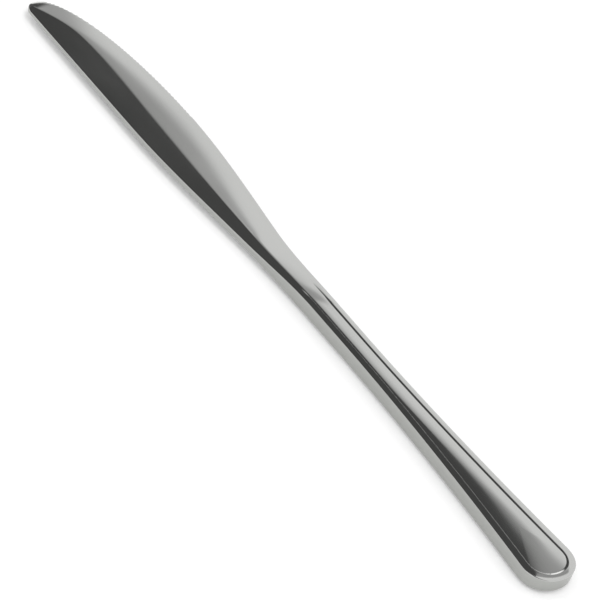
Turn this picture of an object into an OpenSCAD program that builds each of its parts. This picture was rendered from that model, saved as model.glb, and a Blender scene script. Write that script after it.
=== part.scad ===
// Table knife made in one piece, forged and ground from a bar of stainless steel.
// It lies flat on the rim of its handle. +X runs towards the tip, +Z is up and the
// cutting edge faces -Y. The origin is on the table, under the middle of its box.

/* [Whole knife] */
// Length from the butt of the handle to the tip of the blade
knife_length = 235; // [200:1:260]
// Thickness of the handle over its two rims
handle_thick = 5.2; // [4.2:0.1:7]

/* [Handle outline] */
// Length of the handle that keeps its full thickness, from the butt
handle_length = 105; // [85:1:125]
// Width that the flaring sides would reach at the butt
butt_width = 18.4; // [14:0.2:24]
// Length of the rounded end of the butt
butt_round = 8.6; // [6:0.1:12]
// Power of the rounded end, where 2 is an ellipse and more is squarer
butt_power = 2.1; // [2:0.1:3.5]
// Width of the neck, the narrowest place
neck_width = 8.3; // [7:0.1:12]
// Distance of the neck from the butt
neck_from_butt = 91; // [75:1:110]
// How late the sides flare out towards the butt
flare_power = 1.8; // [1.4:0.1:2.4]

/* [Handle face] */
// Height of the flat wall round the handle
handle_wall = 4.4; // [3.4:0.1:6]
// Width of the rounded edge between the wall and the rim
rim_round = 0.45; // [0.3:0.05:0.8]
// Width of the rim at the butt, from the wall to the foot of its inner step
butt_rim = 2.65; // [2:0.05:3.2]
// The same width at the neck
rim_width = 2.2; // [1.7:0.05:2.6]
// Width of the sloping step on the inner side of the rim, at the end of the butt
butt_step = 0.8; // [0.4:0.05:1.1]
// The same width along the sides
step_width = 0.35; // [0.25:0.05:0.7]
// Depth of the panel's foot below the rim
panel_drop = 0.3; // [0.2:0.05:0.5]
// Depth of the crown of panel and neck below the rim
crown_drop = 0.1; // [0.02:0.01:0.15]
// Place along the handle from where its ridge runs over to the spine's side
ridge_start = 25; // [10:1:50]
// Place where the ridge has reached that side
ridge_end = 85; // [70:1:100]
// Length of the rim from the butt
rim_length = 113; // [100:1:130]
// Length over which the rim fades out at the neck
rim_fade = 8; // [4:0.5:12]

/* [Blade outline] */
// Distance from the widest place of the blade to the tip
tip_to_belly = 54.5; // [40:0.5:70]
// Reach of the cutting edge from the handle's axis
belly_depth = 10.9; // [8:0.1:14]
// Reach of the spine from the handle's axis
spine_rise = 9.4; // [6:0.1:11]
// Length of the straight front part of the spine
spine_straight = 52; // [40:1:70]
// Length over which the spine sweeps down to the neck
spine_sweep = 77; // [45:1:85]
// Length over which the cutting edge sweeps in from the belly to the neck
heel_sweep = 76; // [45:1:85]
// Length of the rounded corner between the spine and the tip
nose_length = 3.4; // [1.5:0.1:6]
// Drop of the spine over that rounded corner
nose_drop = 3.4; // [0.8:0.1:4.5]
// Width left at the tip
nose_width = 0.6; // [0.3:0.1:1]

/* [Blade section] */
// Thickness of the spine at the heel of the blade, from where it tapers evenly
spine_thick = 2.4; // [1.7:0.1:3.2]
// Thickness of the spine before the rounded corner at the tip
tip_thick = 1.2; // [0.8:0.1:1.6]
// Thickness of the cutting edge
edge_thick = 0.35; // [0.2:0.05:0.6]
// Length over which the handle's thickness falls to the blade's
shoulder_length = 30; // [20:1:50]
// Fall of the face from the grind line back to the spine
spine_fall = 0.18; // [0.05:0.01:0.3]
// Place of the grind line at the tip, as a share of the blade's width from the spine
grind_share = 0.53; // [0.4:0.01:0.6]
// Place of the ridge at the neck, where the grind line starts, as the same share
neck_share = 0.23; // [0.22:0.01:0.4]
// Share of the face's fall from the ridge that is a straight slope, where the rest is convex
slope_share = 0.5; // [0:0.05:1]

/* [Serration] */
// Spacing of the teeth along the edge
tooth_pitch = 1.4; // [1:0.1:3]
// Depth of the hollows between the teeth
tooth_depth = 0.25; // [0.1:0.05:0.35]
// Length of plain edge between the tip and the first tooth
plain_tip = 4; // [1:0.5:15]

/* [Hidden] */

// Rows of points in the rounded butt, and the length between rows in the handle
butt_rows = 12;
row_pitch = 4;
// Rows of points along the curved front of the blade
front_rows = 30;
// Points along the edge from one row to the next, and rows of points up the panel
edge_steps = 8;
panel_steps = 6;
// Most that the rim takes of a half section, as a share
most_share = 0.9;

// Places along the knife, measured from the butt
belly_at = knife_length - tip_to_belly;
spine_high_at = knife_length - spine_straight;
nose_at = knife_length - nose_length;
handle_rows = ceil((belly_at - butt_round) / row_pitch);
rows = butt_rows + handle_rows + front_rows;

// Half sizes that the sections are drawn from
butt_half = butt_width / 2;
neck_half = neck_width / 2;
rim_level = handle_thick / 2;
wall_level = handle_wall / 2;
foot_level = rim_level - panel_drop;
crown_level = rim_level - crown_drop;
edge_level = edge_thick / 2;
tip_reach = spine_rise - nose_drop - nose_width;
front_reach = tip_reach + belly_depth;

// Columns of points: the arris, the rim's two edges, the foot of its step, then the panel
rim_steps = 3;
ridge = rim_steps + panel_steps;
last = 2 * ridge;
ring = 2 * last + 2;

function mix(a, b, t) = a + (b - a) * t;
function clamped(t) = max(0, min(1, t));
function smooth(t) = let (c = clamped(t)) c * c * (3 - 2 * c);
function dome(t) = 1 - pow(1 - clamped(t), 2);

// Outlines. Each gives the distance of one side from the handle's axis.
function flare(x) = pow(max(0, 1 - x / neck_from_butt), flare_power);
function handle_half(x) = mix(neck_half, butt_half, flare(x));
function nose_share(x) = 1 - sqrt(1 - pow(clamped((x - nose_at) / nose_length), 2));
function spine_side(x) =
    mix(handle_half(x), spine_rise, smooth((x - spine_high_at + spine_sweep) / spine_sweep))
    - nose_drop * nose_share(x);
function front_turn(x) = clamped((x - belly_at) / tip_to_belly);
function edge_side(x) =
    x < belly_at
    ? mix(handle_half(x), belly_depth, smooth((x - belly_at + heel_sweep) / heel_sweep))
    : front_reach * sqrt(1 - pow(front_turn(x), 2)) - tip_reach;

// Share of the blade's section against the handle's, and of the rim against the plain neck
function blade_share(x) = smooth((x - handle_length) / shoulder_length);
function rim_share(x) = smooth((rim_length - x) / rim_fade);
function tip_share(x) = (x - handle_length) / (knife_length - handle_length);
// Half thickness of the spine. It thins to that of the edge round the corner at the tip.
function spine_level(x) =
    mix(mix(spine_thick, tip_thick, tip_share(x)), edge_thick, nose_share(x)) / 2;

// The ridge line starts in the middle of the panel. It runs over to the spine's side at the
// neck, and from there along the blade as the grind line.
function ridge_share(x) =
    mix(
        0.5,
        mix(neck_share, grind_share, clamped(tip_share(x))),
        smooth((x - ridge_start) / (ridge_end - ridge_start))
    );
function ridge_y(x) = mix(spine_side(x), -edge_side(x), ridge_share(x));
function half_of(x, side) =
    side > 0 ? spine_side(x) - ridge_y(x) : edge_side(x) + ridge_y(x);

// Width of the rim along the handle
function rim_at(x) = mix(rim_width, butt_rim, flare(x));

// Inset of a column from the outline, on a half section of the given width
function inset(x, c, half, step = step_width) =
    let (fit = min(1, most_share * half / rim_at(x)))
    c == 0 ? 0
    : c == 1 ? rim_round * fit
    : c == 2 ? (rim_at(x) - step) * fit
    : mix(rim_at(x) * fit, half, (c - rim_steps) / panel_steps);

// Height of a column above the middle plane, in the three kinds of section
function panel_height(c) =
    c == 0 ? wall_level
    : c < rim_steps ? rim_level
    : mix(foot_level, crown_level, dome((c - rim_steps) / panel_steps));
function fall(away) = slope_share * away + (1 - slope_share) * away * away;
function neck_height(q) = mix(crown_level, wall_level, fall(1 - q));
function blade_height(x, q, side) =
    let (ridge_level = spine_level(x) + spine_fall * (1 - nose_share(x)))
    side > 0 ? mix(spine_level(x), ridge_level, q) : mix(ridge_level, edge_level, fall(1 - q));
function height(x, c, half, side) =
    let (
        q = half > 0 ? inset(x, c, half) / half : 1,
        handle = mix(neck_height(q), panel_height(c), rim_share(x))
    )
    mix(handle, blade_height(x, q, side), blade_share(x));

// A point of the rounded butt: its outline is a superellipse, and the rim follows it inwards.
function butt_point(row, c, side) =
    let (
        turn = 90 * row / butt_rows,
        power = 2 / butt_power,
        step = mix(butt_step, step_width, sin(turn)),
        d = inset(butt_round, min(c, rim_steps), butt_half, step),
        x = butt_round - (butt_round - d) * pow(cos(turn), power),
        y = (handle_half(x) - d) * pow(sin(turn), power),
        inward = max(0, (c - rim_steps) / panel_steps)
    )
    [mix(x, butt_round, inward), side * mix(y, 0, inward), panel_height(c)];

// A point of the handle, the neck or the blade, on a section across the knife
function section_point(x, c, side) =
    let (half = half_of(x, side), out = side > 0 ? spine_side(x) : edge_side(x))
    [x, side * (out - inset(x, c, half)), height(x, c, half, side)];

// Place of a row along the knife, past the butt's rows
function row_x(row) =
    row <= butt_rows + handle_rows
    ? mix(butt_round, belly_at, (row - butt_rows) / handle_rows)
    : belly_at + tip_to_belly * sin(90 * (row - butt_rows - handle_rows) / front_rows);

// Columns run from the spine's arris over the ridge to the cutting edge
function upper_point(row, column) =
    let (side = column <= ridge ? 1 : -1, c = column <= ridge ? column : last - column)
    row < butt_rows ? butt_point(row, c, side) : section_point(row_x(row), c, side);
function under(p) = [p.x, p.y, -p.z];
function ring_point(row, r) =
    r <= last ? upper_point(row, r) : under(upper_point(row, ring - 1 - r));

// Teeth. Each stretch of edge between two rows holds a whole number of hollows.
function front_angle(k, step) = 90 * (k + step / edge_steps) / front_rows;
function front_run(angle) =
    norm([tip_to_belly * cos(angle), front_reach * sin(angle)]) * PI / 180;
function teeth_in(k) =
    max(1, round(front_run(front_angle(k, edge_steps / 2)) * 90 / front_rows / tooth_pitch));
function hollow(k, step) =
    let (angle = front_angle(k, step), to_tip = front_run(angle) * (90 - angle))
    to_tip < plain_tip ? 0 : tooth_depth * abs(sin(180 * teeth_in(k) * step / edge_steps));
function edge_point(k, step, sign) =
    let (
        angle = front_angle(k, step),
        inwards = [-front_reach * sin(angle), tip_to_belly * cos(angle)],
        cut = hollow(k, step) / norm(inwards)
    )
    [
        belly_at + tip_to_belly * sin(angle) + inwards.x * cut,
        tip_reach - front_reach * cos(angle) + inwards.y * cut,
        sign * edge_level
    ];

// Each place has one number. The two halves of the first row are the same points, and so
// are the middles of all rows of the butt.
function folded(column) = column > ridge ? last - column : column;
function place(row, r) =
    let (
        top = r <= last,
        column = top ? r : ring - 1 - r,
        kept_row = row <= butt_rows && column == ridge ? 0 : row,
        kept_column = kept_row == 0 ? folded(column) : column
    )
    kept_row * ring + (top ? kept_column : ring - 1 - kept_column);
function distinct(f) = f[0] != f[1] && f[1] != f[2] && f[2] != f[0];

module knife() {
    grid = [for (row = [0:rows]) for (r = [0:ring - 1]) ring_point(row, r)];
    teeth = [
        for (k = [0:front_rows - 1])
            for (sign = [1, -1])
                for (step = [1:edge_steps - 1]) edge_point(k, step, sign)
    ];
    points = concat(grid, teeth);
    first_front = butt_rows + handle_rows;
    first_tooth = (rows + 1) * ring;

    function edge_place(k, step, upper) =
        step == 0 ? place(first_front + k, upper ? last : last + 1)
        : step == edge_steps ? place(first_front + k + 1, upper ? last : last + 1)
        : first_tooth + (2 * k + (upper ? 0 : 1)) * (edge_steps - 1) + step - 1;

    // Two triangles for each cell of the grid, apart from the toothed edge
    cells = [
        for (row = [0:rows - 1])
            for (r = [0:ring - 1])
                let (
                    toothed = row >= first_front && r >= last - 1 && r <= last + 1,
                    next = (r + 1) % ring,
                    a = place(row, r),
                    b = place(row, next),
                    c = place(row + 1, next),
                    d = place(row + 1, r)
                )
                if (!toothed)
                    for (f = [[a, c, b], [a, d, c]])
                        if (distinct(f)) f
    ];
    // The upper and the under face reach the toothed edge with a fan from each row
    fans = [
        for (k = [0:front_rows - 1])
            for (upper = [true, false])
                let (
                    inner = upper ? last - 1 : last + 2,
                    near = place(first_front + k, inner),
                    far = place(first_front + k + 1, inner),
                    middle = edge_place(k, edge_steps / 2, upper),
                    fan = concat(
                        [[near, middle, far]],
                        [
                            for (step = [0:edge_steps - 1])
                                [
                                    step < edge_steps / 2 ? near : far,
                                    edge_place(k, step, upper),
                                    edge_place(k, step + 1, upper)
                                ]
                        ]
                    )
                )
                for (f = fan) upper ? [f[0], f[2], f[1]] : f
    ];
    // The thin wall of the cutting edge itself
    edge_wall = [
        for (k = [0:front_rows - 1])
            for (step = [0:edge_steps - 1])
                let (
                    a = edge_place(k, step, true),
                    b = edge_place(k, step, false),
                    c = edge_place(k, step + 1, false),
                    d = edge_place(k, step + 1, true)
                )
                for (f = [[a, c, b], [a, d, c]]) f
    ];
    // The small flat end at the tip, in strips from the upper face to the under face
    tip = [
        for (column = [0:last - 1])
            let (
                a = place(rows, column),
                b = place(rows, column + 1),
                c = place(rows, ring - 2 - column),
                d = place(rows, ring - 1 - column)
            )
            for (f = [[a, d, c], [a, c, b]]) f
    ];

    across = [for (p = grid) p.y];
    middle = (min(across) + max(across)) / 2;
    color([0.66, 0.66, 0.65])
        translate([-knife_length / 2, -middle, rim_level])
            polyhedron(points, concat(cells, fans, edge_wall, tip));
}

knife();
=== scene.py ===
"""Table knife: the dressed model of a one-piece stainless table knife, its studio and its camera.

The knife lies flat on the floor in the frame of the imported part: +X runs to the tip, +Z is up
and the cutting edge faces -Y. All sizes below are in millimetres unless a name says otherwise.
"""

import logging
import math
from dataclasses import dataclass, field, replace
from enum import Enum

import bmesh
import bpy
from mathutils import Matrix, Vector


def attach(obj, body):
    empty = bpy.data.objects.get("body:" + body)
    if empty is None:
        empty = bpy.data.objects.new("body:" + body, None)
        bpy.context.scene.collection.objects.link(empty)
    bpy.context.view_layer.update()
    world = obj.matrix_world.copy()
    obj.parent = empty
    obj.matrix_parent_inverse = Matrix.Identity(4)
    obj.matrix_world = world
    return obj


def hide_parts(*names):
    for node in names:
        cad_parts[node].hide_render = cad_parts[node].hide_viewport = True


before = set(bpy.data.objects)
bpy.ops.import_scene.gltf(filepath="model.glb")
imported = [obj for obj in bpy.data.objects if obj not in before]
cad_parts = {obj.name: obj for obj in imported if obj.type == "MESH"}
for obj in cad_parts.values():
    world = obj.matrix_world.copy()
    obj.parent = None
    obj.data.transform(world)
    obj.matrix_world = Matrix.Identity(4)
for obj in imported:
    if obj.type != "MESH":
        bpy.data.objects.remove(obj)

MM = 0.001
# Points that are closer together than this, in metres, are made one
MERGE = 1e-8
QUARTER = math.pi / 2.0
WHITE = (1.0, 1.0, 1.0, 1.0)
LOG = logging.getLogger("table_knife")

# A place, a pair of limits, and a brightness that is either fixed or worked out by a node
Point = tuple[float, float, float]
Span = tuple[float, float]
Value = float | bpy.types.Node


def mix(a: float, b: float, t: float) -> float:
    """Blend two numbers, from a at t = 0 to b at t = 1."""
    return a + (b - a) * t


def clamped(t: float) -> float:
    """Limit a number to 0..1."""
    return max(0.0, min(1.0, t))


def smooth(t: float) -> float:
    """Ease a share, limited to 0..1, so that it is level at both ends."""
    c = clamped(t)
    return c * c * (3.0 - 2.0 * c)


def rise(t: float, power: float) -> float:
    """Rise steeply from 0 and level out at 1, the faster the higher the power."""
    return 1.0 - (1.0 - clamped(t)) ** power


def linear_rgb(code: str) -> tuple[float, float, float, float]:
    """Turn an sRGB hex colour into linear light.

    Args:
        code: Six hex digits, with or without a leading hash.

    Returns:
        Linear red, green, blue and an alpha of 1.
    """
    text = code.lstrip("#")
    channels = [int(text[i : i + 2], 16) / 255.0 for i in (0, 2, 4)]
    linear = [c / 12.92 if c <= 0.04045 else ((c + 0.055) / 1.055) ** 2.4 for c in channels]
    return (linear[0], linear[1], linear[2], 1.0)


@dataclass(frozen=True)
class KnifeSizes:
    """Named sizes of the knife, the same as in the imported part, in millimetres."""

    knife_length: float = 235.0
    handle_thick: float = 5.2
    handle_length: float = 105.0
    butt_width: float = 18.4
    butt_round: float = 8.6
    butt_power: float = 2.1
    neck_width: float = 8.3
    neck_from_butt: float = 91.0
    flare_power: float = 1.8
    handle_wall: float = 4.4
    butt_rim: float = 2.65
    rim_width: float = 2.2
    butt_step: float = 0.8
    panel_drop: float = 0.3
    crown_drop: float = 0.1
    ridge_start: float = 25.0
    ridge_end: float = 85.0
    rim_length: float = 113.0
    rim_fade: float = 8.0
    tip_to_belly: float = 54.5
    belly_depth: float = 10.9
    spine_rise: float = 9.4
    spine_straight: float = 52.0
    spine_sweep: float = 77.0
    heel_sweep: float = 76.0
    nose_length: float = 3.4
    nose_drop: float = 3.4
    nose_width: float = 0.6
    spine_thick: float = 2.4
    tip_thick: float = 1.2
    edge_thick: float = 0.35
    shoulder_length: float = 30.0
    spine_fall: float = 0.18
    grind_share: float = 0.53
    neck_share: float = 0.23
    slope_share: float = 0.5
    tooth_pitch: float = 1.4
    tooth_depth: float = 0.25
    plain_tip: float = 4.0


@dataclass(frozen=True)
class DressSizes:
    """Sizes of the fine forms that only the dressed knife has, in millimetres.

    Attributes:
        rim_power: How fast the rim's rounded land levels out.
        crown_power: How fast the panel's crown levels out.
        step_width: Width of the rim's inner step along the sides of the handle.
        spine_trim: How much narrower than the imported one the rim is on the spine's side.
        handle_round: Radius of the handle's upper arris.
        foot_round: Radius of its lower arris.
        spine_round: Radius of the blade's arris along the spine.
        edge_round: Radius of its arris along the cutting edge.
        scallop_reach: Distance from the edge over which the teeth's hollows fade.
        scallop_power: How fast they fade.
        scallop_share: Share of the way to the ridge past which there are none.
        most_share: Most that the rim takes of the way to the ridge.
        fan_lead: How far the lines across the panel lean forward at the butt.
        fan_run: Length over which that lean fades.
        swell_start: Place where the grind line starts to bow towards the edge.
        swell_run: Length over which it does.
        swell_share: How far it bows, as a share of its distance from the spine.
        close_start: Place where it starts to turn to the spine's corner.
        close_share: How far it turns by the tip, as a share of that distance.
    """

    rim_power: float = 2.2
    crown_power: float = 2.0
    step_width: float = 0.22
    spine_trim: float = 0.45
    handle_round: float = 0.2
    foot_round: float = 0.6
    spine_round: float = 0.3
    edge_round: float = 0.05
    scallop_reach: float = 1.3
    scallop_power: float = 2.0
    scallop_share: float = 0.5
    most_share: float = 0.9
    fan_lead: float = 11.4
    fan_run: float = 30.0
    swell_start: float = 185.0
    swell_run: float = 30.0
    swell_share: float = 0.1
    close_start: float = 218.0
    close_share: float = 0.8


@dataclass(frozen=True)
class MeshSteps:
    """How finely the knife is divided.

    Attributes:
        butt_rows: Rows round the butt.
        handle_pitch: Most distance between the rows from there to the belly, in millimetres.
        front_stretches: Equal turns of the edge's curved front.
        tooth_steps: Rows in each of them.
        arris_lanes: Lanes round the arris.
        rim_lanes: Lanes over the rim's land.
        step_lanes: Lanes down its inner step.
        panel_lanes: Lanes from there to the ridge.
        panel_crowding: How much those crowd at the step.
    """

    butt_rows: int = 22
    handle_pitch: float = 1.6
    front_stretches: int = 30
    tooth_steps: int = 8
    arris_lanes: int = 5
    rim_lanes: int = 10
    step_lanes: int = 6
    panel_lanes: int = 18
    panel_crowding: float = 2.0


@dataclass(frozen=True)
class Lane:
    """One line of points along the knife, at a fixed place between the outline and the ridge.

    Attributes:
        turn: Angle round the arris, 0 on the side wall and 90 degrees on the face, in radians.
        rim: Share of the way over the rim's land.
        step: Share of the way down the rim's inner step.
        panel: Share of the way from the foot of that step to the ridge.
    """

    turn: float = QUARTER
    rim: float = 0.0
    step: float = 0.0
    panel: float = 0.0


class KnifeForm:
    """The knife's surface as functions of x, the place along it measured from the butt.

    A side is 1 towards the spine and -1 towards the cutting edge. Widths start at the knife's
    axis and heights at its middle plane.
    """

    def __init__(self, sizes: KnifeSizes, dress: DressSizes) -> None:
        """Store the sizes and work out what follows from them.

        Args:
            sizes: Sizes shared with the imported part.
            dress: Sizes of the fine forms.
        """
        self.s = sizes
        self.dress = dress
        self.belly_at = sizes.knife_length - sizes.tip_to_belly
        self.spine_high_at = sizes.knife_length - sizes.spine_straight
        self.nose_at = sizes.knife_length - sizes.nose_length
        self.neck_half = sizes.neck_width / 2.0
        self.butt_half = sizes.butt_width / 2.0
        self.rim_level = sizes.handle_thick / 2.0
        self.wall_level = sizes.handle_wall / 2.0
        self.edge_level = sizes.edge_thick / 2.0
        self.tip_reach = sizes.spine_rise - sizes.nose_drop - sizes.nose_width
        self.front_reach = self.tip_reach + sizes.belly_depth
        self.middle = (sizes.spine_rise - sizes.belly_depth) / 2.0

    def flare(self, x: float) -> float:
        """Share by which the handle has flared out, 1 at the butt and 0 from the neck on."""
        return max(0.0, 1.0 - x / self.s.neck_from_butt) ** self.s.flare_power

    def handle_half(self, x: float) -> float:
        """Half width of the handle and the neck."""
        return mix(self.neck_half, self.butt_half, self.flare(x))

    def rim_at(self, x: float, trim: float) -> float:
        """Width from the wall to the foot of the rim's inner step, less a trim."""
        return mix(self.s.rim_width, self.s.butt_rim, self.flare(x)) - trim

    def nose_share(self, x: float) -> float:
        """Share of the rounded corner at the tip that is already turned."""
        turn = clamped((x - self.nose_at) / self.s.nose_length)
        return 1.0 - math.sqrt(1.0 - turn * turn)

    def spine_side(self, x: float) -> float:
        """Width on the spine's side.

        Args:
            x: Place from the butt.

        Returns:
            Distance from the axis towards +Y.
        """
        s = self.s
        sweep = smooth((x - self.spine_high_at + s.spine_sweep) / s.spine_sweep)
        return mix(self.handle_half(x), s.spine_rise, sweep) - s.nose_drop * self.nose_share(x)

    def edge_side(self, x: float) -> float:
        """Width on the cutting edge's side.

        Args:
            x: Place from the butt.

        Returns:
            Distance from the axis towards -Y.
        """
        s = self.s
        if x < self.belly_at:
            sweep = smooth((x - self.belly_at + s.heel_sweep) / s.heel_sweep)
            return mix(self.handle_half(x), s.belly_depth, sweep)
        turn = clamped((x - self.belly_at) / s.tip_to_belly)
        return self.front_reach * math.sqrt(1.0 - turn * turn) - self.tip_reach

    def blade_share(self, x: float) -> float:
        """Share of the blade's section, 0 on the handle and 1 past the shoulder."""
        return smooth((x - self.s.handle_length) / self.s.shoulder_length)

    def rim_share(self, x: float) -> float:
        """Share of the rimmed section, 1 where the rim is whole and 0 on the plain neck."""
        return smooth((self.s.rim_length - x) / self.s.rim_fade)

    def tip_share(self, x: float) -> float:
        """Share of the way from the handle's end to the tip."""
        return (x - self.s.handle_length) / (self.s.knife_length - self.s.handle_length)

    def spine_level(self, x: float) -> float:
        """Height of the spine's arris."""
        taper = mix(self.s.spine_thick, self.s.tip_thick, self.tip_share(x))
        return mix(taper, self.s.edge_thick, self.nose_share(x)) / 2.0

    def tip_swell(self, x: float) -> float:
        """How the grind line bows towards the edge, then turns to the spine's corner at the tip.

        Args:
            x: Place from the butt.

        Returns:
            Factor on its share of the blade's width.
        """
        d = self.dress
        swell = 1.0 + d.swell_share * smooth((x - d.swell_start) / d.swell_run)
        turn = max(0.0, x - d.close_start) / (self.s.knife_length - d.close_start)
        return swell * (1.0 - d.close_share * turn * turn)

    def ridge_y(self, x: float) -> float:
        """Place of the ridge line: the middle of the panel, then the grind line of the blade.

        Args:
            x: Place from the butt.

        Returns:
            Distance from the axis towards +Y.
        """
        s = self.s
        plain = mix(s.neck_share, s.grind_share, clamped(self.tip_share(x))) * self.tip_swell(x)
        over = smooth((x - s.ridge_start) / (s.ridge_end - s.ridge_start))
        return mix(self.spine_side(x), -self.edge_side(x), mix(0.5, plain, over))

    def arris_round(self, x: float, side: int) -> float:
        """Radius of the rounded arris between the face and the side wall.

        Args:
            x: Place from the butt.
            side: Side of the knife.

        Returns:
            Radius in millimetres.
        """
        thin = self.dress.edge_round
        if side > 0:
            thin = mix(self.dress.spine_round, self.dress.edge_round, self.nose_share(x))
        return mix(self.dress.handle_round, thin, self.blade_share(x))

    def plain_inset(self, rim: float, lane: Lane, radius: float, step: float) -> float:
        """Distance of a lane from the outline, up to the foot of the step, on a whole rim."""
        place = (rim - step) * lane.rim + step * lane.step
        return radius * (1.0 - math.cos(lane.turn)) + place * (1.0 - radius / rim)

    def lead(self, x: float) -> float:
        """How far the line across the panel leans forward, which makes its end a wide fan."""
        return self.dress.fan_lead * (1.0 - smooth((x - self.s.butt_round) / self.dress.fan_run))

    def panel_height(self, lane: Lane) -> float:
        """Height of a lane on the rimmed handle.

        Args:
            lane: The lane.

        Returns:
            Height above the middle plane.
        """
        s = self.s
        foot = self.rim_level - s.panel_drop
        if lane.panel > 0.0:
            return mix(foot, self.rim_level - s.crown_drop, rise(lane.panel, self.dress.crown_power))
        if lane.step > 0.0:
            return mix(self.rim_level, foot, lane.step)
        return mix(self.wall_level, self.rim_level, rise(lane.rim, self.dress.rim_power))

    def fall(self, q: float) -> float:
        """Share of the fall from the ridge (q = 1) to the outline (q = 0): part slope, part curve."""
        away = 1.0 - q
        return self.s.slope_share * away + (1.0 - self.s.slope_share) * away * away

    def neck_height(self, q: float) -> float:
        """Height on the plain neck, a share q of the way from the outline to the ridge."""
        return mix(self.rim_level - self.s.crown_drop, self.wall_level, self.fall(q))

    def blade_height(self, x: float, q: float, side: int) -> float:
        """Height on the blade.

        Args:
            x: Place from the butt.
            q: Share of the way from the outline to the ridge.
            side: Side of the knife.

        Returns:
            Height above the middle plane.
        """
        ridge_level = self.spine_level(x) + self.s.spine_fall * (1.0 - self.nose_share(x))
        if side > 0:
            return mix(self.spine_level(x), ridge_level, q)
        return mix(ridge_level, self.edge_level, self.fall(q))

    def face_point(self, x: float, lane: Lane, side: int) -> Point:
        """Point of the upper face on a section across the knife.

        Args:
            x: Place from the butt.
            lane: The lane.
            side: Side of the knife.

        Returns:
            Place from the butt, place across and height above the middle plane.
        """
        out = self.spine_side(x) if side > 0 else self.edge_side(x)
        half = out - side * self.ridge_y(x)
        radius = self.arris_round(x, side)
        rim = self.rim_at(x, self.dress.spine_trim if side > 0 else 0.0)
        plain = self.plain_inset(rim, lane, radius, self.dress.step_width)
        fit = min(1.0, self.dress.most_share * half / rim)
        inset = mix(plain * fit, half, lane.panel)
        q = inset / half if half > 0.0 else 1.0
        handle = mix(self.neck_height(q), self.panel_height(lane), self.rim_share(x))
        level = mix(handle, self.blade_height(x, q, side), self.blade_share(x))
        forward = x + self.lead(x) * lane.panel
        y = mix(side * (out - plain * fit), self.ridge_y(x + self.lead(x)), lane.panel)
        return (forward, y, level - radius * (1.0 - math.sin(lane.turn)))

    def butt_point(self, turn: float, lane: Lane, side: int) -> Point:
        """Point of the upper face round the butt.

        Args:
            turn: Angle round the butt, 0 at its end and 90 degrees at its side, in radians.
            lane: The lane.
            side: Side of the knife.

        Returns:
            Place from the butt, place across and height above the middle plane.
        """
        s = self.s
        power = 2.0 / s.butt_power
        radius = self.dress.handle_round
        to_side = math.sin(turn) ** 2
        step = mix(s.butt_step, self.dress.step_width, to_side)
        rim = self.rim_at(s.butt_round, self.dress.spine_trim * to_side if side > 0 else 0.0)
        d = self.plain_inset(rim, lane, radius, step)
        x = s.butt_round - (s.butt_round - d) * max(0.0, math.cos(turn)) ** power
        y = (self.handle_half(x) - d) * math.sin(turn) ** power
        forward = mix(x, s.butt_round + self.dress.fan_lead, lane.panel)
        level = self.panel_height(lane) - radius * (1.0 - math.sin(lane.turn))
        return (forward, side * mix(y, 0.0, lane.panel), level)


class Teeth:
    """The hollows ground along the curved front of the cutting edge, in rows from the belly."""

    def __init__(self, form: KnifeForm, stretches: int, steps: int) -> None:
        """Store the form and how finely its front is divided.

        Args:
            form: The knife's surface.
            stretches: Number of equal turns that the front is divided into.
            steps: Number of rows in each of them.
        """
        self.form = form
        self.stretches = stretches
        self.steps = steps

    def angle(self, row: int) -> float:
        """Turn of a row along the curved front, in radians, a quarter turn at the tip."""
        return QUARTER * row / (self.stretches * self.steps)

    def run(self, angle: float) -> float:
        """Length of edge for each radian of turn."""
        reach = self.form.s.tip_to_belly
        return math.hypot(reach * math.cos(angle), self.form.front_reach * math.sin(angle))

    def hollow(self, row: int) -> float:
        """Depth of the hollows at a row.

        Args:
            row: Row counted from the belly.

        Returns:
            Depth in millimetres, 0 on the plain edge near the tip.
        """
        s = self.form.s
        stretch = min(row // self.steps, self.stretches - 1)
        turn = QUARTER / self.stretches
        middle = self.run(turn * (stretch + 0.5))
        count = max(1, round(middle * turn / s.tooth_pitch))
        angle = self.angle(row)
        if self.run(angle) * (QUARTER - angle) < s.plain_tip:
            return 0.0
        share = row / self.steps - stretch
        return s.tooth_depth * abs(math.sin(math.pi * count * share))

    def inwards(self, row: int) -> Span:
        """Direction from the edge into the blade at a row.

        Args:
            row: Row counted from the belly.

        Returns:
            Parts along and across the knife, of length 1.
        """
        angle = self.angle(row)
        along = -self.form.front_reach * math.sin(angle)
        across = self.form.s.tip_to_belly * math.cos(angle)
        length = math.hypot(along, across)
        return (along / length, across / length)


def new_object(name: str, bm: bmesh.types.BMesh, *finishes: bpy.types.Material) -> bpy.types.Object:
    """Turn a finished shape into an object in the scene.

    Args:
        name: Name of the object and of its mesh.
        bm: The shape, which is freed.
        finishes: Its materials, in the order of their slots.

    Returns:
        The object, at the origin.
    """
    mesh = bpy.data.meshes.new(name)
    bm.to_mesh(mesh)
    bm.free()
    for finish in finishes:
        mesh.materials.append(finish)
    made = bpy.data.objects.new(name, mesh)
    bpy.context.scene.collection.objects.link(made)
    return made


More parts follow.
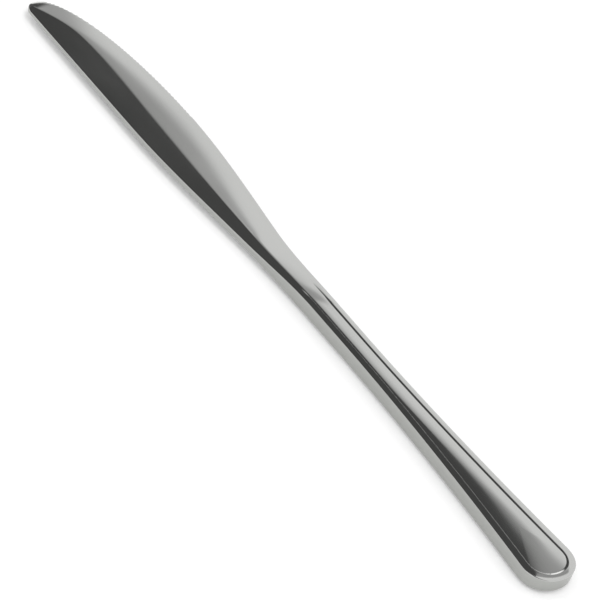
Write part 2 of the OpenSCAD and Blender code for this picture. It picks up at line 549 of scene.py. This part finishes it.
@dataclass
class KnifeBody:
    """The knife itself: an upper and an under face on one grid, joined by the side walls.

    Attributes:
        sizes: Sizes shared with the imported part.
        dress: Sizes of the fine forms.
        steps: How finely the knife is divided.
        node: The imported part's node that the knife stands for.
    """

    sizes: KnifeSizes = KnifeSizes()
    dress: DressSizes = DressSizes()
    steps: MeshSteps = MeshSteps()
    node: str = "knife"

    def __post_init__(self) -> None:
        """Lay out the surfaces, the lanes and the rows."""
        self.upper = KnifeForm(self.sizes, self.dress)
        # The two faces differ only in the arris along the handle
        foot_dress = replace(self.dress, handle_round=self.dress.foot_round)
        self.under = KnifeForm(self.sizes, foot_dress)
        steps = self.steps
        self.teeth = Teeth(self.upper, steps.front_stretches, steps.tooth_steps)
        arris = [Lane(turn=QUARTER * i / steps.arris_lanes) for i in range(steps.arris_lanes + 1)]
        rim = [Lane(rim=smooth(i / steps.rim_lanes)) for i in range(1, steps.rim_lanes + 1)]
        step = [Lane(rim=1.0, step=i / steps.step_lanes) for i in range(1, steps.step_lanes + 1)]
        # The panel's lanes crowd at the foot of the step, where its slope changes at once
        panel = [
            Lane(rim=1.0, step=1.0, panel=(i / steps.panel_lanes) ** steps.panel_crowding)
            for i in range(1, steps.panel_lanes + 1)
        ]
        self.lanes = arris + rim + step + panel
        self.ridge = len(self.lanes) - 1
        handle = self.upper.belly_at - self.sizes.butt_round
        self.handle_rows = math.ceil(handle / steps.handle_pitch)
        front_rows = steps.front_stretches * steps.tooth_steps
        self.rows = steps.butt_rows + self.handle_rows + front_rows

    def point(self, form: KnifeForm, row: int, column: int) -> Point:
        """Point of the upper face, or of the under face turned up.

        Args:
            form: The surface of that face.
            row: Row from the butt to the tip.
            column: Column from the spine's arris over the ridge to the cutting edge.

        Returns:
            Place from the butt, place across and height above the middle plane.
        """
        side = 1 if column <= self.ridge else -1
        lane = self.lanes[column if side > 0 else 2 * self.ridge - column]
        steps = self.steps
        if row < steps.butt_rows:
            return form.butt_point(QUARTER * row / steps.butt_rows, lane, side)
        along = row - steps.butt_rows
        if along <= self.handle_rows:
            x = mix(form.s.butt_round, form.belly_at, along / self.handle_rows)
            return form.face_point(x, lane, side)
        front = along - self.handle_rows
        x = form.belly_at + form.s.tip_to_belly * math.sin(self.teeth.angle(front))
        point = form.face_point(x, lane, side)
        dress = form.dress
        if side > 0 or lane.panel > dress.scallop_share:
            return point
        inset = form.edge_side(x) + point[1]
        fade = max(0.0, 1.0 - inset / dress.scallop_reach) ** dress.scallop_power
        cut = self.teeth.hollow(front) * fade
        inwards = self.teeth.inwards(front)
        return (point[0] + inwards[0] * cut, point[1] + inwards[1] * cut, point[2])

    def placed(self, point: Point) -> Vector:
        """Move a point from the knife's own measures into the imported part's frame, in metres."""
        corner = (self.sizes.knife_length / 2.0, self.upper.middle, -self.upper.rim_level)
        return Vector([(place - zero) * MM for place, zero in zip(point, corner)])

    def build(self, faces: bpy.types.Material, walls: bpy.types.Material) -> bpy.types.Object:
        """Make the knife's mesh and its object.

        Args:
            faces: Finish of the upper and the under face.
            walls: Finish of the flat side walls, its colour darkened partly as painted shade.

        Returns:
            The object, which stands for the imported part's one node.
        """
        bm = bmesh.new()
        # Each point also carries its place on the under face
        below = bm.verts.layers.float_vector.new("below")
        columns = 2 * self.ridge
        made = bmesh.ops.create_grid(bm, x_segments=self.rows, y_segments=columns, size=1.0)
        for vert in made["verts"]:
            row = round((vert.co.x + 1.0) / 2.0 * self.rows)
            column = round((vert.co.y + 1.0) / 2.0 * columns)
            vert.co = self.placed(self.point(self.upper, row, column))
            x, y, level = self.point(self.under, row, column)
            vert[below] = self.placed((x, y, -level))
        bmesh.ops.remove_doubles(bm, verts=bm.verts[:], dist=MERGE)
        bmesh.ops.dissolve_degenerate(bm, dist=MERGE, edges=bm.edges[:])
        self._close(bm)
        bm.verts.layers.float_vector.remove(bm.verts.layers.float_vector["below"])
        bmesh.ops.recalc_face_normals(bm, faces=bm.faces[:])
        for face in bm.faces:
            face.smooth = True
        return new_object("knife_body", bm, faces, walls)

    def _close(self, bm: bmesh.types.BMesh) -> None:
        """Copy the upper face to the places of the under one and wall in the gap between them.

        Args:
            bm: Mesh that holds the upper face.
        """
        upper = bm.faces[:]
        outline = [e for e in bm.edges if e.is_boundary]
        copy = bmesh.ops.duplicate(bm, geom=upper)
        under = [g for g in copy["geom"] if isinstance(g, bmesh.types.BMVert)]
        walls = bmesh.ops.extrude_edge_only(bm, edges=outline)
        for wall in (g for g in walls["geom"] if isinstance(g, bmesh.types.BMFace)):
            wall.material_index = 1
        lowered = [g for g in walls["geom"] if isinstance(g, bmesh.types.BMVert)]
        below = bm.verts.layers.float_vector["below"]
        for vert in lowered + under:
            vert.co = vert[below]
        bmesh.ops.remove_doubles(bm, verts=lowered + under, dist=MERGE)


def add_node(
    tree: bpy.types.NodeTree, kind: str, inputs: dict | None = None, **settings: str
) -> bpy.types.Node:
    """Add one shader node with its settings and links.

    Args:
        tree: Node tree to add it to.
        kind: Blender's name of the node type.
        inputs: Values, sockets or nodes by input name or number. A node gives its first output.
        settings: Properties set on the node itself.

    Returns:
        The new node.
    """
    node = tree.nodes.new(kind)
    for name, setting in settings.items():
        setattr(node, name, setting)
    for key, given in (inputs or {}).items():
        source = given.outputs[0] if isinstance(given, bpy.types.Node) else given
        if isinstance(source, bpy.types.NodeSocket):
            tree.links.new(source, node.inputs[key])
        else:
            node.inputs[key].default_value = source
    return node


def lay(
    tree: bpy.types.NodeTree,
    under: Value,
    over: Value,
    *passages: tuple[bpy.types.Node | bpy.types.NodeSocket, Value, Value],
) -> bpy.types.Node:
    """Lay one value over another where all of some soft passages are whole.

    Args:
        tree: Node tree to add it to.
        under: Value where one of them hasn't begun.
        over: Value where they all are whole.
        passages: What each goes by, where it begins and where it is whole.

    Returns:
        Node with the value.
    """
    cover = 1.0
    for measured, begins, whole in passages:
        limits = {0: measured, 1: begins, 2: whole}
        share = add_node(tree, "ShaderNodeMapRange", limits, interpolation_type="SMOOTHSTEP")
        cover = add_node(tree, "ShaderNodeMath", {0: cover, 1: share}, operation="MULTIPLY")
    return add_node(tree, "ShaderNodeMix", {0: cover, 2: under, 3: over})


def picture_rays(tree: bpy.types.NodeTree) -> bpy.types.Node:
    """Tell the rays that make a picture from the ones that gather light.

    Args:
        tree: Node tree of the floor or the world.

    Returns:
        Node that is 1 for camera, glossy and transmission rays.
    """
    rays = add_node(tree, "ShaderNodeLightPath").outputs
    seen = 0.0
    for kind in ("Is Camera Ray", "Is Glossy Ray", "Is Transmission Ray"):
        seen = add_node(tree, "ShaderNodeMath", {0: seen, 1: rays[kind]}, operation="MAXIMUM")
    return seen


@dataclass(frozen=True)
class Steel:
    """Forged stainless steel, ground along its length and polished more or less after that.

    The real grinding lines are a few hundredths of a millimetre apart, too fine to show in the
    render, so they are drawn a few times coarser. The eye sees them as a faint drawing out of the
    reflections.

    Attributes:
        name: Name of the material.
        colour: Colour of the metal as sRGB hex.
        dull_colour: Colour between the lines as sRGB hex.
        roughness: Lowest and highest roughness.
        line: Size of a grinding line along the knife, across it and upwards.
        line_layers: How many finer layers the lines have.
        line_depth: Depth of the lines.
        line_strength: Share of that depth that shows.
        patch: Size of the broad, faint patches where the polish is flatter.
        patch_layers: How many finer layers the patches have.
        patch_span: Values of the patches' noise between which the roughness changes.
    """

    name: str
    colour: str
    dull_colour: str
    roughness: Span
    line: Point = (9.0, 0.12, 0.12)
    line_layers: float = 2.0
    line_depth: float = 0.0004
    line_strength: float = 0.25
    patch: Point = (26.0, 7.0, 7.0)
    patch_layers: float = 3.0
    patch_span: Span = (0.3, 0.7)

    def material(self) -> bpy.types.Material:
        """Make the material.

        Returns:
            A procedural material that reads the object's own coordinates.
        """
        steel = bpy.data.materials.new(self.name)
        steel.use_nodes = True
        tree = steel.node_tree
        tree.nodes.clear()
        place = add_node(tree, "ShaderNodeTexCoord").outputs["Object"]
        patterns = []
        for size, layers in ((self.line, self.line_layers), (self.patch, self.patch_layers)):
            scale = tuple(1.0 / (length * MM) for length in size)
            spread = add_node(tree, "ShaderNodeVectorMath", {0: place, 1: scale}, operation="MULTIPLY")
            noise = {"Vector": spread, "Scale": 1.0, "Detail": layers}
            patterns.append(add_node(tree, "ShaderNodeTexNoise", noise))
        lines, patches = patterns
        passage = dict(enumerate((patches, *self.patch_span, *self.roughness)))
        rough = add_node(tree, "ShaderNodeMapRange", passage)
        tones = {0: lines, 6: linear_rgb(self.dull_colour), 7: linear_rgb(self.colour)}
        colour = add_node(tree, "ShaderNodeMix", tones, data_type="RGBA")
        relief = {"Height": lines, "Strength": self.line_strength, "Distance": self.line_depth * MM}
        bump = add_node(tree, "ShaderNodeBump", relief)
        look = {"Base Color": colour.outputs[2], "Metallic": 1.0, "Roughness": rough, "Normal": bump}
        metal = add_node(tree, "ShaderNodeBsdfPrincipled", look)
        add_node(tree, "ShaderNodeOutputMaterial", {"Surface": metal})
        return steel


class Zone(Enum):
    """Parts of the studio that the steel reflects."""

    TENT = "white tent"
    FLAG = "dark flag above the knife"
    BESIDE = "grey beside the flag"
    FAR = "paler grey farther beside it"
    DIM = "dimmer tent beyond the tip"
    GAP = "dark gap below the dimmer tent"
    HAZE = "grey below the flag"
    SPOT = "bright spot low in the tent"
    SCREEN = "grey screen across the room"


@dataclass(frozen=True)
class Studio:
    """A white tent with a dark flag above the knife, on a plain white floor.

    Azimuths run from +X towards +Y and elevations start at the horizon, both in degrees. A pair
    of them runs from where a zone hasn't begun to where it is whole.

    Attributes:
        levels: Brightness of each zone.
        plain_level: Brightness of the tent for light that matt surfaces gather.
        flag_start: Azimuths over which the flag starts.
        flag_end: Azimuths over which the flag, the dimmer tent and the haze end.
        slant: Azimuth where the flag's lower edge starts to fall, and its elevation there.
        slant_rise: Rise of that edge for each degree.
        lift: Azimuths over which that edge rises and sharpens beside the flag.
        lift_height: How far it rises.
        edge_soft: Half width of that edge where it is softest and where it is sharpest.
        edge_turn: Azimuths of those two places.
        far_side: Azimuths over which the grey beside the flag turns darker towards it.
        open_side: Azimuths over which that grey sets in.
        dim_side: Azimuths over which the tent dims towards the knife's tip.
        dim_rise: Elevations over which it does.
        gap_side: Azimuths over which the dark gap below it sets in.
        gap_top: Elevations over which that gap ends upwards.
        haze_rise: Elevations over which the haze sets in.
        haze_top: Elevation of its upper edge at azimuth 0.
        haze_slope: Rise of that edge for each degree.
        haze_soft: Half width of that edge.
        spot: Azimuth and elevation of the bright spot.
        spot_reach: Half width of it.
        screen_side: Azimuths over which the grey screen sets in.
        screen_rise: Elevations over which it sets in.
        floor_half: Half width of the floor in metres.
        floor_colour: Colour of the floor as sRGB hex.
        floor_glow: Brightness that the floor adds for the camera and for reflections.
        lamp_power: Power of the lamp in watts.
        lamp_size: Width of the lamp in metres.
        lamp_lean: Its lean from straight above towards the cutting edge's side, in degrees.
        lamp_distance: Distance of the lamp in metres.
    """

    levels: dict[Zone, float] = field(
        default_factory=lambda: {
            Zone.TENT: 1.0,
            Zone.FLAG: 0.085,
            Zone.BESIDE: 0.21,
            Zone.FAR: 0.46,
            Zone.DIM: 0.55,
            Zone.GAP: 0.1,
            Zone.HAZE: 0.48,
            Zone.SPOT: 1.6,
            Zone.SCREEN: 0.25,
        }
    )
    plain_level: float = 0.92
    flag_start: Span = (-57.5, -56.7)
    flag_end: Span = (90.0, 70.0)
    slant: Span = (-56.0, 40.2)
    slant_rise: float = -0.3
    lift: Span = (-59.9, -60.9)
    lift_height: float = 2.1
    edge_soft: Span = (4.5, 1.0)
    edge_turn: Span = (-55.5, -51.5)
    far_side: Span = (-61.2, -58.7)
    open_side: Span = (-98.0, -82.0)
    dim_side: Span = (-54.4, -50.6)
    dim_rise: Span = (12.0, 22.0)
    gap_side: Span = (-49.6, -47.0)
    gap_top: Span = (37.5, 33.0)
    haze_rise: Span = (31.5, 33.5)
    haze_top: float = 102.64
    haze_slope: float = 1.2
    haze_soft: float = 0.5
    spot: Span = (-40.0, 7.0)
    spot_reach: float = 15.0
    screen_side: Span = (100.0, 125.0)
    screen_rise: Span = (8.0, 46.0)
    floor_half: float = 6.0
    floor_colour: str = "#f6f6f6"
    floor_glow: float = 0.12
    lamp_power: float = 3.5
    lamp_size: float = 0.52
    lamp_lean: float = 4.0
    lamp_distance: float = 1.49

    def build(self) -> None:
        """Make the floor, the sky and the lamp."""
        self._floor()
        self._sky()
        self._lamp()

    def _floor(self) -> None:
        """Make the plain floor that the knife lies on."""
        bm = bmesh.new()
        bmesh.ops.create_grid(bm, x_segments=1, y_segments=1, size=self.floor_half)
        new_object("floor", bm, self._floor_material())

    def _floor_material(self) -> bpy.types.Material:
        """Make the floor's material.

        Returns:
            Matt white that also glows a little for the camera and for reflections.
        """
        white = bpy.data.materials.new("white_floor")
        white.use_nodes = True
        tree = white.node_tree
        tree.nodes.clear()
        shares = {0: picture_rays(tree), 1: self.floor_glow}
        strength = add_node(tree, "ShaderNodeMath", shares, operation="MULTIPLY")
        glow = add_node(tree, "ShaderNodeEmission", {"Color": WHITE, "Strength": strength})
        matt = add_node(tree, "ShaderNodeBsdfDiffuse", {"Color": linear_rgb(self.floor_colour)})
        both = add_node(tree, "ShaderNodeAddShader", {0: matt, 1: glow})
        add_node(tree, "ShaderNodeOutputMaterial", {"Surface": both})
        return white

    def _sky(self) -> None:
        """Make the world: the zones of the tent by direction."""
        world = bpy.data.worlds.new("studio")
        world.use_nodes = True
        tree = world.node_tree
        tree.nodes.clear()
        direction = add_node(tree, "ShaderNodeTexCoord").outputs["Generated"]
        parts = add_node(tree, "ShaderNodeSeparateXYZ", {0: direction}).outputs
        turn = add_node(tree, "ShaderNodeMath", {0: parts["Y"], 1: parts["X"]}, operation="ARCTAN2")
        height = add_node(tree, "ShaderNodeMath", {0: parts["Z"]}, operation="ARCSINE")
        azimuth = add_node(tree, "ShaderNodeMath", {0: turn}, operation="DEGREES")
        elevation = add_node(tree, "ShaderNodeMath", {0: height}, operation="DEGREES")
        tent = self._tent(tree, azimuth, elevation)
        level = self._flagged(tree, azimuth, elevation, tent)
        level = add_node(tree, "ShaderNodeMix", {0: picture_rays(tree), 2: self.plain_level, 3: level})
        sky = add_node(tree, "ShaderNodeBackground", {"Color": WHITE, "Strength": level})
        add_node(tree, "ShaderNodeOutputWorld", {"Surface": sky})
        bpy.context.scene.world = world

    def _tent(
        self, tree: bpy.types.NodeTree, azimuth: bpy.types.Node, elevation: bpy.types.Node
    ) -> bpy.types.Node:
        """Work out the brightness of the tent without the flag.

        Args:
            tree: Node tree of the world.
            azimuth: Azimuth looked at.
            elevation: Elevation looked at.

        Returns:
            Node with the brightness.
        """
        levels = self.levels
        gap = ((elevation, *self.gap_top), (azimuth, *self.gap_side))
        shade = lay(tree, levels[Zone.DIM], levels[Zone.GAP], *gap)
        dim = ((azimuth, *self.dim_side), (azimuth, *self.flag_end), (elevation, *self.dim_rise))
        level = lay(tree, levels[Zone.TENT], shade, *dim)
        looked_at = add_node(tree, "ShaderNodeCombineXYZ", {0: azimuth, 1: elevation})
        ends = {0: looked_at, 1: (*self.spot, 0.0)}
        off = add_node(tree, "ShaderNodeVectorMath", ends, operation="SUBTRACT")
        square = add_node(tree, "ShaderNodeVectorMath", {0: off, 1: off}, operation="DOT_PRODUCT")
        spot = (square.outputs["Value"], self.spot_reach**2, 0.0)
        level = lay(tree, level, levels[Zone.SPOT], spot)
        screen = ((azimuth, *self.screen_side), (elevation, *self.screen_rise))
        level = lay(tree, level, levels[Zone.SCREEN], *screen)
        # The haze lies in a slanting band below the flag
        line = {0: azimuth, 1: self.haze_slope, 2: self.haze_top}
        top = add_node(tree, "ShaderNodeMath", line, operation="MULTIPLY_ADD")
        below = add_node(tree, "ShaderNodeMath", {0: top, 1: elevation}, operation="SUBTRACT")
        band = ((elevation, *self.haze_rise), (below, -self.haze_soft, self.haze_soft))
        return lay(tree, level, levels[Zone.HAZE], *band, (azimuth, *self.flag_end))

    def _flagged(
        self,
        tree: bpy.types.NodeTree,
        azimuth: bpy.types.Node,
        elevation: bpy.types.Node,
        tent: bpy.types.Node,
    ) -> bpy.types.Node:
        """Lay the flag and the greys beside it over the tent, above one slanting edge.

        Args:
            tree: Node tree of the world.
            azimuth: Azimuth looked at.
            elevation: Elevation looked at.
            tent: Brightness of the tent.

        Returns:
            Node with the brightness.
        """
        levels = self.levels
        start, height = self.slant
        lift = (azimuth, *self.lift)
        past = add_node(tree, "ShaderNodeMath", {0: azimuth, 1: start}, operation="SUBTRACT")
        past = add_node(tree, "ShaderNodeMath", {0: past, 1: 0.0}, operation="MAXIMUM")
        line = {0: past, 1: self.slant_rise, 2: height}
        edge = add_node(tree, "ShaderNodeMath", line, operation="MULTIPLY_ADD")
        lifted = add_node(tree, "ShaderNodeMath", {0: edge, 1: self.lift_height}, operation="ADD")
        edge = lay(tree, edge, lifted, lift)
        above = add_node(tree, "ShaderNodeMath", {0: elevation, 1: edge}, operation="SUBTRACT")
        passage = dict(enumerate((azimuth, *self.edge_turn, *self.edge_soft)))
        soft = add_node(tree, "ShaderNodeMapRange", passage)
        soft = lay(tree, soft, self.edge_soft[1], lift)
        minus = add_node(tree, "ShaderNodeMath", {0: soft, 1: -1.0}, operation="MULTIPLY")
        beside = lay(tree, levels[Zone.FAR], levels[Zone.BESIDE], (azimuth, *self.far_side))
        beside = lay(tree, levels[Zone.TENT], beside, (azimuth, *self.open_side))
        covered = lay(tree, beside, levels[Zone.FLAG], (azimuth, *self.flag_start))
        return lay(tree, tent, covered, (above, minus, soft), (azimuth, *self.flag_end))

    def _lamp(self) -> None:
        """Hang the soft lamp above the knife, leaning a little to the cutting edge's side."""
        light = bpy.data.lights.new("overhead_lamp", "AREA")
        light.shape = "DISK"
        light.size = self.lamp_size
        light.energy = self.lamp_power
        lamp = bpy.data.objects.new("overhead_lamp", light)
        lean = Matrix.Rotation(math.radians(self.lamp_lean), 4, "X")
        lamp.matrix_world = lean @ Matrix.Translation((0.0, 0.0, self.lamp_distance))
        lamp.visible_glossy = False
        bpy.context.scene.collection.objects.link(lamp)


@dataclass(frozen=True)
class PhotoCamera:
    """The photograph's camera.

    Attributes:
        azimuth: Direction to the camera, in degrees, 0 where it looks along +Y.
        elevation: Height of the camera above the horizon, in degrees.
        roll: Turn of the camera about its line of sight, in degrees.
        distance: Distance from the target.
        target: Point that the camera looks at.
        focal_pixels: Focal length in pixels of the picture.
        picture_pixels: Width of the picture in pixels.
        sensor: Width of the sensor.
        clip: Nearest and farthest distance drawn, in metres.
    """

    azimuth: float = 215.628
    elevation: float = 40.744
    roll: float = 23.872
    distance: float = 1400.0
    target: Point = (-6.388, 4.33, 2.5)
    focal_pixels: float = 5186.6
    picture_pixels: float = 600.0
    sensor: float = 36.0
    clip: Span = (0.05, 50.0)

    def build(self) -> None:
        """Make the camera and set it as the scene's."""
        lens = bpy.data.cameras.new("camera")
        lens.sensor_width = self.sensor
        lens.lens = self.focal_pixels / self.picture_pixels * self.sensor
        lens.clip_start, lens.clip_end = self.clip
        camera = bpy.data.objects.new("camera", lens)
        a, e, r = (math.radians(v) for v in (self.azimuth, self.elevation, self.roll))
        back = Vector((math.sin(a) * math.cos(e), -math.cos(a) * math.cos(e), math.sin(e)))
        across = Vector((0.0, 0.0, 1.0)).cross(back).normalized()
        up = back.cross(across)
        right = across * math.cos(r) + up * math.sin(r)
        top = up * math.cos(r) - across * math.sin(r)
        place = (Vector(self.target) + back * self.distance) * MM
        turn = Matrix((right, top, back)).transposed().to_4x4()
        camera.matrix_world = Matrix.Translation(place) @ turn
        bpy.context.scene.collection.objects.link(camera)
        bpy.context.scene.camera = camera


def main() -> None:
    """Build the camera, the studio and the knife, and log what is built."""
    logging.basicConfig(level=logging.INFO, format="%(name)s: %(message)s")
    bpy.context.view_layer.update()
    PhotoCamera().build()
    LOG.info("camera at the photograph's angle")
    Studio().build()
    LOG.info("floor, sky and lamp")
    # Forged stainless steel polished after grinding: a mirror with slightly soft borders
    polished = Steel("polished_stainless", "#c6c6c4", "#bfc0be", roughness=(0.07, 0.11))
    # The same steel left as ground: a soft, even grey sheen without a picture in it. Its colours are
    # set darker than the polished steel's, partly for the duller ground finish and partly as painted
    # shade that stands for the shadowed floor the side walls reflect
    ground = Steel("ground_stainless_painted_shade", "#b2b3b0", "#a9aaa7", roughness=(0.3, 0.4))
    body = KnifeBody()
    knife = body.build(polished.material(), ground.material())
    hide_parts(body.node)
    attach(knife, "root")
    LOG.info("knife: %d faces", len(knife.data.polygons))
    bpy.context.scene.view_settings.view_transform = "Standard"


if __name__ == "__main__":
    main()
